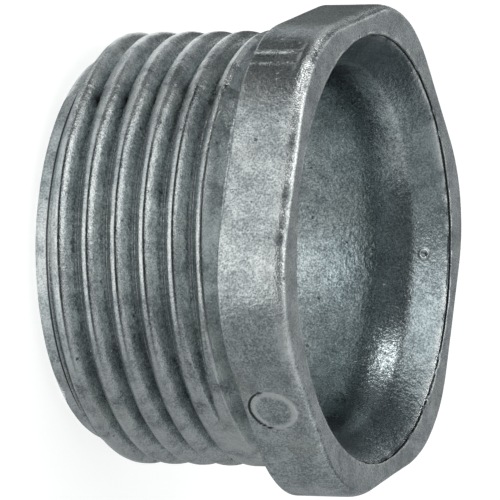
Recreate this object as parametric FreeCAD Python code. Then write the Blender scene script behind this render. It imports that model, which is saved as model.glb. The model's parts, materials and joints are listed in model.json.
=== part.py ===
import FreeCAD, Part

import math
import os

# Conduit nipple, trade size 3/4, made as one zinc die casting.
# A rounded hexagon head carries a plain neck and a straight male thread of 14 ridges per inch.
# The wire way runs right through: a throat with a little draft, which opens into a bell mouth in the head.
# The axis is Z. The thread end stands on Z = 0, and the head is at the top.
# The two halves of the die meet on the XZ plane, through the head corners on +X and -X.

# Driving dimensions, in millimetres and degrees
OVERALL_LENGTH = 17.17
HEAD_HEIGHT = 4.14
HEAD_ACROSS_FLATS = 28.42
HEAD_CORNER_RADIUS = 8.6
HEAD_FRONT_EDGE_RADIUS = 0.5
HEAD_BACK_EDGE_RADIUS = 0.3
NECK_DIAMETER = 24.7
NECK_CORNER_RADIUS = 0.8
THROAT_DIAMETER = 20.7
THROAT_STRAIGHT_LENGTH = 1.5
THROAT_DRAFT_ANGLE = 1.2
BELL_START_Z = 12.0
BELL_CREASE_DIAMETER = 22.26
BELL_CREASE_Z = 15.27
BELL_MOUTH_CURVE_RADIUS = 11.0
MOUTH_DIAMETER = 25.6
MOUTH_STEP_DEPTH = 0.2

THREADS_PER_INCH = 14
THREAD_MAJOR_DIAMETER = 26.26
THREAD_DEPTH = 1.13
THREAD_FLANK_ANGLE = 30.0
RIDGE_TOP_WIDTH = 0.14
RIDGE_EDGE_WIDTH = 0.104
RIDGE_EDGE_DEPTH = 0.06
THREAD_END_Z = 11.335
GROOVE_START_Z = -0.005
GROOVE_SWEEP_ANGLE = 2085.0
GROOVE_RUNOUT_ANGLE = 50.0

LEAD_IN_DIAMETER = 23.6
LEAD_IN_LENGTH = 0.8
LEAD_IN_EDGE_RADIUS = 0.3
LEAD_IN_CONE_LENGTH = 0.85

EJECTOR_MARK_DIAMETER = 3.0
EJECTOR_MARK_DEPTH = 0.06
EJECTOR_MARK_Z = 14.85

# Sizes worked out from the driving dimensions
INCH = 25.4
PITCH = INCH / THREADS_PER_INCH
CREST_RADIUS = THREAD_MAJOR_DIAMETER / 2
LEAD_IN_RADIUS = LEAD_IN_DIAMETER / 2
NECK_RADIUS = NECK_DIAMETER / 2
THROAT_RADIUS = THROAT_DIAMETER / 2
BELL_CREASE_RADIUS = BELL_CREASE_DIAMETER / 2
MOUTH_RADIUS = MOUTH_DIAMETER / 2
HEAD_BACK_Z = OVERALL_LENGTH - HEAD_HEIGHT
HEAD_MIDDLE_Z = OVERALL_LENGTH - HEAD_HEIGHT / 2
HEAD_APOTHEM = HEAD_ACROSS_FLATS / 2
CORNER_COUNT = 6
CORNER_STEP = 360.0 / CORNER_COUNT

# Modelling aids: room past a cut, points along a helix, and how close two ends count as joined
CUT_ROOM = 1.0
GROOVE_OVERREACH = 0.03
GROOVE_TOP_ROOM = 0.3
HELIX_STEP = 15.0
HALF_TURN_STEPS = 12
SAME_HEIGHT = 1e-6


def in_section(radius, height):
    """A point of the section that is turned about the axis."""
    return FreeCAD.Vector(radius, 0, height)


def at_angle(radius, angle, height):
    """A point at an angle in degrees about the axis."""
    turn = math.radians(angle)
    return FreeCAD.Vector(radius * math.cos(turn), radius * math.sin(turn), height)


def line(start, end):
    return Part.LineSegment(start, end).toShape()


def arc_about(centre, radius, start_angle, end_angle, in_plane):
    """An arc through its own middle, in the plane that in_plane puts a pair of numbers in."""
    points = []
    for angle in (start_angle, (start_angle + end_angle) / 2, end_angle):
        turn = math.radians(angle)
        across = centre[0] + radius * math.cos(turn)
        along = centre[1] + radius * math.sin(turn)
        points.append(in_plane(across, along))
    return Part.Arc(*points).toShape()


def bulging_arc(start, end, radius):
    """An arc of the section between two points, upwards, that bulges towards the axis."""
    chord = end - start
    half = chord.Length / 2
    rise = radius - math.sqrt(radius ** 2 - half ** 2)
    aside = in_section(-chord.z, chord.x).normalize()
    return Part.Arc(start, (start + end) / 2 + aside * rise, end).toShape()


def turned(edges):
    """The solid made by turning a closed section about the axis."""
    section = Part.Face(Part.Wire(edges))
    return section.revolve(FreeCAD.Vector(0, 0, 0), FreeCAD.Vector(0, 0, 1), 360)


def chained(points):
    """Straight edges from each point to the next."""
    return [line(start, end) for start, end in zip(points, points[1:])]


def shank_blank():
    """Lead-in, thread blank and neck, with no thread and no bore yet."""
    edge_centre = (LEAD_IN_RADIUS - LEAD_IN_EDGE_RADIUS, LEAD_IN_EDGE_RADIUS)
    rounded_edge = arc_about(edge_centre, LEAD_IN_EDGE_RADIUS, -90, 0, in_section)
    neck_step = CREST_RADIUS - NECK_RADIUS
    outside = [
        in_section(LEAD_IN_RADIUS, LEAD_IN_EDGE_RADIUS),
        in_section(LEAD_IN_RADIUS, LEAD_IN_LENGTH),
        in_section(CREST_RADIUS, LEAD_IN_LENGTH + LEAD_IN_CONE_LENGTH),
        in_section(CREST_RADIUS, THREAD_END_Z),
        in_section(NECK_RADIUS, THREAD_END_Z + neck_step),
        in_section(NECK_RADIUS, HEAD_MIDDLE_Z),
        in_section(0, HEAD_MIDDLE_Z),
        in_section(0, 0),
        in_section(edge_centre[0], 0),
    ]
    return turned([rounded_edge] + chained(outside))


def head_outline(height):
    """The hexagon with rounded corners, one corner on +X, at a height."""
    corner_centre = (HEAD_APOTHEM - HEAD_CORNER_RADIUS) / math.cos(math.radians(CORNER_STEP / 2))

    def in_plan(x, y):
        return FreeCAD.Vector(x, y, height)

    corners = []
    for index in range(CORNER_COUNT):
        middle = index * CORNER_STEP
        turn = math.radians(middle)
        centre = (corner_centre * math.cos(turn), corner_centre * math.sin(turn))
        start, end = middle - CORNER_STEP / 2, middle + CORNER_STEP / 2
        corners.append(arc_about(centre, HEAD_CORNER_RADIUS, start, end, in_plan))
    edges = []
    for corner, following in zip(corners, corners[1:] + corners[:1]):
        edges.append(corner)
        edges.append(line(corner.lastVertex().Point, following.firstVertex().Point))
    return Part.Wire(edges)


def edges_at(solid, height):
    """The edges of a solid that lie flat at a height."""
    found = []
    for edge in solid.Edges:
        box = edge.BoundBox
        if abs(box.ZMin - height) < SAME_HEIGHT and abs(box.ZMax - height) < SAME_HEIGHT:
            found.append(edge)
    return found


def hexagon_head():
    head = Part.Face(head_outline(HEAD_BACK_Z)).extrude(FreeCAD.Vector(0, 0, HEAD_HEIGHT))
    head = head.makeFillet(HEAD_FRONT_EDGE_RADIUS, edges_at(head, OVERALL_LENGTH))
    return head.makeFillet(HEAD_BACK_EDGE_RADIUS, edges_at(head, HEAD_BACK_Z))


def neck_corner(solid):
    """Rounds the inside corner where the neck meets the back of the head."""
    corner = []
    for edge in edges_at(solid, HEAD_BACK_Z):
        if isinstance(edge.Curve, Part.Circle) and abs(edge.Curve.Radius - NECK_RADIUS) < SAME_HEIGHT:
            corner.append(edge)
    return solid.makeFillet(NECK_CORNER_RADIUS, corner)


def wire_way():
    """The space cut through the casting: drafted throat, straight throat, bell and the step at its mouth."""
    draft = math.tan(math.radians(THROAT_DRAFT_ANGLE))
    straight_z = BELL_START_Z - THROAT_STRAIGHT_LENGTH
    step_z = OVERALL_LENGTH - MOUTH_STEP_DEPTH
    bell_start = in_section(THROAT_RADIUS, BELL_START_Z)
    crease = in_section(BELL_CREASE_RADIUS, BELL_CREASE_Z)
    mouth = in_section(MOUTH_RADIUS, step_z)
    smooth_radius = (crease - bell_start).Length ** 2 / (2 * (BELL_CREASE_RADIUS - THROAT_RADIUS))
    below = [
        in_section(0, -CUT_ROOM),
        in_section(THROAT_RADIUS + (straight_z + CUT_ROOM) * draft, -CUT_ROOM),
        in_section(THROAT_RADIUS, straight_z),
        bell_start,
    ]
    bell = [
        bulging_arc(bell_start, crease, smooth_radius),
        bulging_arc(crease, mouth, BELL_MOUTH_CURVE_RADIUS),
    ]
    above = [
        mouth,
        in_section(MOUTH_RADIUS, OVERALL_LENGTH + CUT_ROOM),
        in_section(0, OVERALL_LENGTH + CUT_ROOM),
        in_section(0, -CUT_ROOM),
    ]
    return turned(chained(below) + bell + chained(above))


def groove_section():
    """Corners of the groove between two ridges, as radius and height from the groove's middle."""
    slope = math.tan(math.radians(THREAD_FLANK_ANGLE))
    top = (PITCH - RIDGE_TOP_WIDTH) / 2
    shoulder = top - RIDGE_EDGE_WIDTH
    bottom = shoulder - (THREAD_DEPTH - RIDGE_EDGE_DEPTH) * slope
    mouth = top + GROOVE_OVERREACH * RIDGE_EDGE_WIDTH / RIDGE_EDGE_DEPTH
    upper_side = [
        (CREST_RADIUS - THREAD_DEPTH, bottom),
        (CREST_RADIUS - RIDGE_EDGE_DEPTH, shoulder),
        (CREST_RADIUS + GROOVE_OVERREACH, mouth),
        (CREST_RADIUS + GROOVE_TOP_ROOM, mouth),
    ]
    lower_side = [(radius, -height) for radius, height in reversed(upper_side)]
    return upper_side + lower_side


def groove_lift(angle):
    """How far the groove has climbed out of the metal: nothing, until it runs out at its end."""
    share = (angle - (GROOVE_SWEEP_ANGLE - GROOVE_RUNOUT_ANGLE)) / GROOVE_RUNOUT_ANGLE
    return max(0.0, share) ** 2 * (THREAD_DEPTH + GROOVE_OVERREACH)


def groove_point(corner, angle):
    radius, height = corner
    climb = GROOVE_START_Z + PITCH * angle / 360
    return at_angle(radius + groove_lift(angle), angle, climb + height)


def helix_pieces(corner, angles):
    """One corner's helix, as half-turn curves that join end to end."""
    whole = Part.BSplineCurve()
    whole.interpolate(Points=[groove_point(corner, angle) for angle in angles], Parameters=angles)
    joints = angles[:-1:HALF_TURN_STEPS] + angles[-1:]
    pieces = []
    for start, end in zip(joints, joints[1:]):
        piece = whole.copy()
        piece.segment(start, end)
        pieces.append(piece.toShape())
    return pieces


def thread_groove():
    """The right-hand helical space between the ridges, from the lead-in to its runout at the neck."""
    section = groove_section()
    steps = round(GROOVE_SWEEP_ANGLE / HELIX_STEP)
    angles = [GROOVE_SWEEP_ANGLE * step / steps for step in range(steps + 1)]
    helices = [helix_pieces(corner, angles) for corner in section]
    faces = []
    for helix, following in zip(helices, helices[1:] + helices[:1]):
        for piece, facing in zip(helix, following):
            faces.append(Part.makeRuledSurface(piece, facing))
    for angle in (angles[0], angles[-1]):
        corners = [groove_point(corner, angle) for corner in section]
        faces.append(Part.Face(Part.makePolygon(corners + corners[:1])))
    shell = Part.makeShell(faces)
    shell.sewShape()
    groove = Part.Solid(shell)
    if groove.Volume < 0:
        groove.reverse()
    return groove


def ejector_mark():
    """The shallow round print of an ejector pin, on the flat that faces -Y."""
    centre = FreeCAD.Vector(0, -HEAD_APOTHEM - CUT_ROOM, EJECTOR_MARK_Z)
    depth = CUT_ROOM + EJECTOR_MARK_DEPTH
    return Part.makeCylinder(EJECTOR_MARK_DIAMETER / 2, depth, centre, FreeCAD.Vector(0, 1, 0))


def conduit_nipple():
    casting = neck_corner(shank_blank().fuse(hexagon_head()).removeSplitter())
    for space in (thread_groove(), wire_way(), ejector_mark()):
        casting = casting.cut(space)
    return casting.Solids[0]


os.makedirs("parts", exist_ok=True)
nipple = conduit_nipple()
nipple.exportStep("parts/conduit_nipple.step")
print("conduit_nipple valid:", nipple.isValid(), "volume in mm3:", round(nipple.Volume, 1))
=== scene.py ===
# %% [markdown]
# # A cast zinc conduit nipple
#
# The part is one small die casting: a hexagon head with round corners, a straight male thread, and a wire
# way that opens into a bell mouth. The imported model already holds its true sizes. This lesson builds the
# same casting again as one finer mesh, adds the marks that the die left on it, and gives it the mottled
# grey skin of bare zinc.

# %% Load the frame
import json
import math

import bmesh
import bpy
from mathutils import Matrix, Vector


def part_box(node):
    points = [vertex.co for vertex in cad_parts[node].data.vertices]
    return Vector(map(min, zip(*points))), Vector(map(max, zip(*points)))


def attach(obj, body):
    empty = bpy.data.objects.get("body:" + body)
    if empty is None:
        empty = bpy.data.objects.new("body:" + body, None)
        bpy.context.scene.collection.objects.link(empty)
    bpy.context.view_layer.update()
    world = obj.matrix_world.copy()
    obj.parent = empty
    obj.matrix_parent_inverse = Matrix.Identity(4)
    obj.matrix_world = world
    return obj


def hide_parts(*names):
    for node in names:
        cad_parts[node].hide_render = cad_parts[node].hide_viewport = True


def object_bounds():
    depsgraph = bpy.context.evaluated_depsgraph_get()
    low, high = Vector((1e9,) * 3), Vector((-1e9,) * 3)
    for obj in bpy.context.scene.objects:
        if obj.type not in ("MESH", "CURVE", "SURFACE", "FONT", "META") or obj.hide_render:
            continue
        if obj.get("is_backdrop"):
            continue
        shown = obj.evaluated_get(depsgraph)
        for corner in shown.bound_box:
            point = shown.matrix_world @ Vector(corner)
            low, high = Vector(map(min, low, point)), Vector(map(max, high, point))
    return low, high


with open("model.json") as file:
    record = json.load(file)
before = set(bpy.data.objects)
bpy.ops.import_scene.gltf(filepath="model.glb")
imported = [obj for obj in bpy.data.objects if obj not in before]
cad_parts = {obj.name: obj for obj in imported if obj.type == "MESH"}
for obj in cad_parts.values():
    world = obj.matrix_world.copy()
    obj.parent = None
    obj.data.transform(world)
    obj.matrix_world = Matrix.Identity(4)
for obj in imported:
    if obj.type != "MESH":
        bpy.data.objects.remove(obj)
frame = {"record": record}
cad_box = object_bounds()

NODE = "conduit_nipple"
MM = 0.001


def in_mm(values, digits=3):
    return [round(value / MM, digits) for value in values]


print("CAD box in mm:", [in_mm(corner) for corner in cad_box])

# %% [markdown]
# The camera comes first, because every later choice is judged through it. The photograph was taken from
# far off with a long lens, a little above the head, and the picture lies on its side: the axis of the
# part runs from left to right. A camera could be dragged about until the outlines meet, but a distance
# and three angles can be fitted one by one. So the camera looks down on the standing part and is rolled
# by a quarter turn.

# %% Camera
PICTURE_PIXELS = 500
FOCAL_PIXELS = 5253.0
SENSOR_WIDTH = 36.0
CLIP_START = 10 * MM
CAMERA_DISTANCE = 317.1 * MM
CAMERA_AZIMUTH = math.radians(-41.82)
CAMERA_ELEVATION = math.radians(22.475)
CAMERA_ROLL = math.radians(0.454)
TARGET_ACROSS = 0.1025 * MM
TARGET_HEIGHT = 8.921 * MM
CAMERA_TURN = Matrix.Rotation(CAMERA_AZIMUTH, 3, "Z")


def seen_from_camera(across, away, up):
    """A direction given as the camera's side sees it, turned into the part's own axes."""
    return CAMERA_TURN @ Vector((across, away, up))


def linked(name, data):
    """A new object in the scene, made from a mesh, a lamp or a camera."""
    made = bpy.data.objects.new(name, data)
    bpy.context.scene.collection.objects.link(made)
    return made


def photo_camera():
    rise, level = math.sin(CAMERA_ELEVATION), math.cos(CAMERA_ELEVATION)
    across = seen_from_camera(1, 0, 0)
    upward = seen_from_camera(0, rise, level)
    backward = seen_from_camera(0, -level, rise)
    picture_right = upward * math.cos(CAMERA_ROLL) - across * math.sin(CAMERA_ROLL)
    picture_up = -(upward * math.sin(CAMERA_ROLL) + across * math.cos(CAMERA_ROLL))
    place = across * TARGET_ACROSS + Vector((0, 0, TARGET_HEIGHT)) + backward * CAMERA_DISTANCE
    data = bpy.data.cameras.new("photo_camera")
    data.sensor_width = SENSOR_WIDTH
    data.lens = SENSOR_WIDTH * FOCAL_PIXELS / PICTURE_PIXELS
    data.clip_start = CLIP_START
    camera = linked("photo_camera", data)
    axes = Matrix((picture_right, picture_up, backward)).transposed()
    camera.matrix_world = Matrix.Translation(place) @ axes.to_4x4()
    bpy.context.scene.camera = camera
    return camera


camera = photo_camera()
print("camera at mm:", in_mm(camera.matrix_world.translation, 1), "lens:", round(camera.data.lens, 1))

# %% [markdown]
# The main sizes are read from the frame, so the mesh cannot drift away from the solid. The box gives the
# length, the width across the flats and, from the width across the corners, the radius of those corners.
# The mounts give the throat, the crest of the thread and the back of the head. The outside is drawn a
# hair's breadth inside the box, to leave room for the uneven skin that comes later.

# %% Sizes from the frame
SKIN_ROOM = 0.015 * MM
SIXTH_TURN = math.radians(60)
HALF_SIXTH = math.radians(30)
SECANT = 1 / math.cos(HALF_SIXTH)
low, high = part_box(NODE)
mounts = {mount["name"]: mount for mount in frame["record"]["mounts"]}
across_flats = high.y - low.y
across_corners = high.x - low.x
CORNER_RADIUS = (across_flats * SECANT - across_corners) / 2 / (SECANT - 1)
APOTHEM = across_flats / 2 - SKIN_ROOM
FRONT = high.z - SKIN_ROOM
THROAT = mounts["throat"]["dims"]["r_mm"] * MM
CREST = mounts["thread"]["dims"]["r_mm"] * MM
HEAD_BACK = mounts["bearing_face"]["pos_m"][2]
print("corner radius, front, head back in mm:", in_mm((CORNER_RADIUS, FRONT, HEAD_BACK)))

# %% [markdown]
# The whole casting is a ring, so its skin is one sheet that closes on itself twice: around the axis, and
# around the section of the wall. It could be put together from a lathe, a screw and booleans, but their
# joints would need repair. So the section is drawn once, as a list of points with a radius and a height.
#
# A point also says how much it belongs to the hexagon of the head, how far inside that outline it lies,
# whether it climbs with the thread, in which groove it lies, and its radius in the rear half of the
# thread, which came from the other half of the die. For the finish, it says whether it lies in the bore,
# how much painted shade and dirt darken it, how much wear and painted highlight lighten it, and how ragged
# it is.

# %% A section that can be walked round
FULL = 1.0


class WallSection:
    """The closed outline of the wall: radius and height of each point, then what the point carries."""

    # The darkening that a point carries is mostly painted shade with some dirt, and its lightening is wear
    # together with painted highlights.
    CARRIED = ("hexagon", "inset", "climb", "groove", "rear_radius", "bore", "dirt", "worn", "ragged")
    FIRST_CARRIED = 2

    def __init__(self):
        self.points = []

    def add(self, radius, height, **carried):
        self.points.append((radius, height, *(carried.get(name, 0.0) for name in self.CARRIED)))

    def as_mesh(self):
        closed = self.points + self.points[:1]
        mesh = bpy.data.meshes.new("wall_section")
        mesh.from_pydata([(radius, 0, height) for radius, height, *_ in closed], [], [])
        for column, name in enumerate(self.CARRIED, start=self.FIRST_CARRIED):
            values = mesh.attributes.new(name, "FLOAT", "POINT")
            values.data.foreach_set("value", [point[column] for point in closed])
        return mesh


def steps(count):
    """Shares from just above 0 up to 1, in equal steps."""
    return [(step + 1) / count for step in range(count)]


def between(start, end, share):
    return start + (end - start) * share


section = WallSection()
print("the section carries:", section.CARRIED)

# %% [markdown]
# The wire way is walked first, from the thread end upwards. Two cores of the die met in it, and each
# needs a little draft to draw out, so the throat is narrowest below the bell. The bell keeps the wires
# from chafing. It leaves the throat gently, and then turns outwards at a faint crease.
#
# It ends in a low step, where the core met the face of the cavity: the thin dark line around the mouth,
# which painted shade on the step makes darker still. The step could be cut later with a boolean, but as
# rows of the same section it needs no repair. Its rows are marked as ragged, so that the nodes can tear
# them a little, and both rims are painted lighter, partly as wear where wires polish them and partly as a
# painted highlight.

# %% Section: wire way
QUARTER_TURN = math.radians(90)
THROAT_STRAIGHT = 1.5 * MM
THROAT_DRAFT = math.radians(1.2)
THROAT_ROWS = 8
# The bore share tints the colour colder and darkens it; the darkening is painted shade inside the hollow,
# and the bell gets the most.
THROAT_BORE_RISE = 3
STRAIGHT_ROWS = 3
BELL_START = 12.0 * MM
BELL_ROWS = 12
BELL_BORE = 1.5
# The bell's rim is painted lighter: partly wear from the wires, partly a painted highlight.
BELL_RIM_WEAR_AND_HIGHLIGHT = 2.5
CREASE = 11.13 * MM
CREASE_HEIGHT = 15.27 * MM
MOUTH = 12.8 * MM
MOUTH_CURVE = 11.0 * MM
MOUTH_ROWS = 14
MOUTH_STEP = 0.2 * MM
MOUTH_RIM = 0.1 * MM
# Painted shade on the step at the mouth darkens its thin line.
STEP_FOOT = MOUTH_RIM / 4
STEP_SHADE = 1.8
RIM_SHARES = (0, 0.35, 0.7, FULL)
# The mouth rim is painted lighter, partly as wear and partly as a painted highlight.
RIM_WEAR_AND_HIGHLIGHT = 3.0
RIM_NARROW = 12
STRAIGHT_START = BELL_START - THROAT_STRAIGHT
THROAT_END = THROAT + STRAIGHT_START * math.tan(THROAT_DRAFT)


def bulging_rows(start, end, radius, count, bore, rim_wear_and_highlight=0.0):
    """An arc between two points of the section, upwards, that bulges towards the axis."""
    across, up = end[0] - start[0], end[1] - start[1]
    lean = math.atan2(across, up)
    half_turn = math.asin(math.hypot(across, up) / 2 / radius)
    first = lean - half_turn
    for share in steps(count):
        turn = first + 2 * half_turn * share
        outward = radius * (math.cos(first) - math.cos(turn))
        height = start[1] + radius * (math.sin(turn) - math.sin(first))
        section.add(start[0] + outward, height, bore=bore, worn=rim_wear_and_highlight * share ** RIM_NARROW)


def bell_rows():
    crease = (CREASE, CREASE_HEIGHT)
    bell_radius = ((CREASE - THROAT) ** 2 + (CREASE_HEIGHT - BELL_START) ** 2) / (2 * (CREASE - THROAT))
    bulging_rows((THROAT, BELL_START), crease, bell_radius, BELL_ROWS, FULL)
    bulging_rows(crease, (MOUTH, FRONT - MOUTH_STEP), MOUTH_CURVE, MOUTH_ROWS, BELL_BORE, BELL_RIM_WEAR_AND_HIGHLIGHT)


def wire_way_rows():
    for share in steps(THROAT_ROWS):
        radius = between(THROAT_END, THROAT, share)
        section.add(radius, STRAIGHT_START * share, bore=share ** THROAT_BORE_RISE)
    for share in steps(STRAIGHT_ROWS):
        section.add(THROAT, between(STRAIGHT_START, BELL_START, share), bore=FULL)
    bell_rows()
    section.add(MOUTH, FRONT - MOUTH_STEP + STEP_FOOT, dirt=STEP_SHADE, ragged=FULL)
    for share in RIM_SHARES:
        turn = QUARTER_TURN * share
        radius = MOUTH + MOUTH_RIM * (1 - math.cos(turn))
        height = FRONT - MOUTH_RIM * (1 - math.sin(turn))
        section.add(radius, height, dirt=STEP_SHADE * (1 - share), worn=RIM_WEAR_AND_HIGHLIGHT * share, ragged=FULL)


wire_way_rows()
print("points in the wire way:", len(section.points))

# %% [markdown]
# The head follows: the flat ring of the face, its rounded front edge, the sides, and the back that bears
# on the wall of a box. A bevel modifier could round the edges, but here each edge is a few rows on a
# quarter of an ellipse, so its size stays exact. The rows pass from the round mouth to the hexagon by a
# share that grows along the ring. The front edge is painted lighter, partly as wear from handling and
# partly as a painted highlight, and the back edge gets a line of painted shade. The neck under the head
# has a rounded inside corner, which molten metal fills better than a sharp one.

# %% Section: head and neck
FRONT_EDGE = 0.45 * MM
FRONT_EDGE_LENGTH = 0.85 * MM
FRONT_EDGE_ROWS = 8
# The front edge is painted lighter: partly wear, partly a painted highlight.
EDGE_WEAR_AND_HIGHLIGHT = 2.0
RING_ROWS = 8
SIDE_ROWS = 40
BACK_EDGE = 0.12 * MM
# Painted shade along the back edge of the head.
BACK_EDGE_SHADE = 0.9
BACK_EDGE_ROWS = 5
BACK_ROWS = 4
NECK = 12.35 * MM
NECK_ROWS = 6
NECK_CORNER = 0.8 * MM
NECK_CORNER_ROWS = 4
THREAD_TOP = 12.15 * MM


def head_rows():
    for share in steps(RING_ROWS):
        section.add(MOUTH + MOUTH_RIM, FRONT, hexagon=share, inset=FRONT_EDGE)
    for share in steps(FRONT_EDGE_ROWS):
        inset = FRONT_EDGE * (1 - math.sin(QUARTER_TURN * share))
        height = FRONT - FRONT_EDGE_LENGTH * (1 - math.cos(QUARTER_TURN * share))
        worn = EDGE_WEAR_AND_HIGHLIGHT * math.sin(2 * QUARTER_TURN * share)
        section.add(0, height, hexagon=FULL, inset=inset, worn=worn)
    for share in steps(SIDE_ROWS):
        section.add(0, between(FRONT - FRONT_EDGE_LENGTH, HEAD_BACK + BACK_EDGE, share), hexagon=FULL)
    for share in steps(BACK_EDGE_ROWS):
        inset = BACK_EDGE * (1 - math.cos(QUARTER_TURN * share))
        height = HEAD_BACK + BACK_EDGE * (1 - math.sin(QUARTER_TURN * share))
        section.add(0, height, hexagon=FULL, inset=inset, dirt=BACK_EDGE_SHADE)
    for share in steps(BACK_ROWS):
        section.add(NECK + NECK_CORNER, HEAD_BACK, hexagon=1 - share, inset=BACK_EDGE)


def neck_rows():
    for share in steps(NECK_CORNER_ROWS):
        radius = NECK + NECK_CORNER * (1 - math.sin(QUARTER_TURN * share))
        section.add(radius, HEAD_BACK - NECK_CORNER * (1 - math.cos(QUARTER_TURN * share)))
    for share in steps(NECK_ROWS):
        section.add(NECK, between(HEAD_BACK - NECK_CORNER, THREAD_TOP, share))


head_rows()
neck_rows()
print("points so far:", len(section.points))

# %% [markdown]
# The thread is one ridge that climbs around the shank, fourteen times in an inch. A Screw modifier could
# sweep it, but its two ends would need cutting and joining. So only its section is written, which repeats
# from one groove to the next: a narrow root, two full flanks that bulge a little, and a narrow flat
# crest. The rear half of the die made rounder ridges without that crest. The rows are written for one
# angle only, and the nodes will lift them by one pitch for every turn. The crest is painted lighter,
# partly as wear and partly as a painted highlight, the flank on its upper side gets a painted highlight,
# and beside the crest runs a fine line of painted dark reflection.

# %% Section: one ridge of the thread
INCH_IN_MM = 25.4
RIDGES_PER_INCH = 14
PITCH = INCH_IN_MM / RIDGES_PER_INCH * MM
GROOVE_START = -0.005 * MM
GROOVE_DEPTH = 1.13 * MM
CREST_HALF = 0.06 * MM
CREST_EASE = 0.11 * MM
CREST_EASE_DEPTH = 0.035 * MM
EASE_SHARES = (0.66, 0.33, 0)
ROOT_HALF = 0.05 * MM
FLANK_START = 0.55
FLANK_BULGE = 2.4
FLANK_SHARES = (1, 0.9, 0.75, 0.55, 0.35, 0.16, 0)
REAR_ROUNDING = 2.5


def flank_depth(share):
    """Depth below the crest, from the eased crest at 0 to the root at 1: gentle first, then steep."""
    bulge = FLANK_START * share + (1 - FLANK_START) * share ** FLANK_BULGE
    return between(CREST_EASE_DEPTH, GROOVE_DEPTH, bulge)


def rear_depth(height):
    """The same for the rear half, at a height above the middle of the groove."""
    return GROOVE_DEPTH * (1 - 2 * height / PITCH) ** REAR_ROUNDING


def ridge_profile():
    """One pitch, from the middle of a groove to the next: height, and depth below the crest."""
    crest_edge = PITCH / 2 - CREST_HALF
    flank_top = crest_edge - CREST_EASE
    half = [(0.0, GROOVE_DEPTH)]
    for share in FLANK_SHARES:
        half.append((between(flank_top, ROOT_HALF, share), flank_depth(share)))
    for share in EASE_SHARES:
        half.append((crest_edge - CREST_EASE * share, CREST_EASE_DEPTH * share * share))
    mirrored = [(PITCH - height, depth) for height, depth in reversed(half[1:])]
    return half + [(PITCH / 2, 0.0)] + mirrored


print("thread pitch in mm:", round(PITCH / MM, 4), "points per ridge:", len(ridge_profile()))

# %% [markdown]
# The ridges are stacked with a spare one at each end, which fills the gap that the climb of one pitch
# leaves. Below them, a short plain lead-in helps a locknut to find the thread. It gets a line of painted
# shade under the ridge and a painted highlight below that line. The end face closes the ring.

# %% Section: thread and lead-in
# A painted dark reflection along the upper edge of the crest.
CREST_LINE_PAINTED_DARK = 1.2
# The upper flank beside the crest is painted lighter, as a painted highlight.
FLANK_SHEEN = 0.8
FLANK_SHEEN_DEPTH = 0.5 * MM
LEAD_IN = 11.8 * MM
LEAD_IN_TOP = 0.88 * MM
LEAD_IN_CONE = 0.85 * MM
# Painted shade in the corner under the last ridge, then a painted highlight on the lead-in below it.
LEAD_IN_SHADE = 1.7
LEAD_IN_SHADE_SHARES = (0.03, 0.12)
LEAD_IN_SHEEN = 0.7
LEAD_IN_SHEEN_SHARES = (0.25, 0.45, 0.7, 1)
LEAD_IN_EDGE = 0.3 * MM
LEAD_IN_EDGE_ROWS = 5
END_FACE_ROWS = 3


def crest_wear_and_sheen(height, depth):
    """How much lighter a point is painted: the crest most, partly as wear and partly as a painted
    highlight, then the upper flank beside it, as a painted highlight.
    """
    if depth == 0:
        return FULL
    if height < PITCH / 2 or depth <= CREST_EASE_DEPTH:
        return 0.0
    return FLANK_SHEEN * max(0.0, 1 - depth / FLANK_SHEEN_DEPTH)


def thread_rows():
    turns = math.ceil((THREAD_TOP - GROOVE_START) / PITCH) + 1
    for turn in reversed(range(-1, turns)):
        for height, depth in reversed(ridge_profile()):
            groove = turn if height < PITCH / 2 else turn + 1
            from_groove = min(height, PITCH - height)
            lifted = GROOVE_START + turn * PITCH + height
            rear = CREST - rear_depth(from_groove)
            # Rows beside the crest get the painted dark line; the crest and upper flank are painted
            # lighter.
            beside_crest = height > PITCH / 2 and 0 < depth <= CREST_EASE_DEPTH
            skin = {"dirt": CREST_LINE_PAINTED_DARK if beside_crest else 0.0, "worn": crest_wear_and_sheen(height, depth)}
            section.add(CREST - depth, lifted, climb=FULL, groove=groove, rear_radius=rear, **skin)


def lead_in_rows():
    for share in LEAD_IN_SHADE_SHARES:
        section.add(LEAD_IN, between(LEAD_IN_TOP, LEAD_IN_EDGE, share), dirt=LEAD_IN_SHADE)
    for share in LEAD_IN_SHEEN_SHARES:
        section.add(LEAD_IN, between(LEAD_IN_TOP, LEAD_IN_EDGE, share), worn=LEAD_IN_SHEEN)
    for share in steps(LEAD_IN_EDGE_ROWS):
        radius = LEAD_IN - LEAD_IN_EDGE * (1 - math.cos(QUARTER_TURN * share))
        section.add(radius, LEAD_IN_EDGE * (1 - math.sin(QUARTER_TURN * share)))
    for share in steps(END_FACE_ROWS):
        section.add(between(LEAD_IN - LEAD_IN_EDGE, THROAT_END, share), 0.0)


thread_rows()
lead_in_rows()
section_mesh = section.as_mesh()
print("points of the closed section:", len(section_mesh.vertices))

# %% [markdown]
# Geometry Nodes turn the section into the casting. A formula in nodes is hard to read as boxes and wires,
# so this small helper lets the script write it as arithmetic: each operation on a Field adds one node to
# its tree. The same helper serves the material later, because shader trees have the same Math nodes.

# %% Fields: arithmetic that builds nodes


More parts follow.
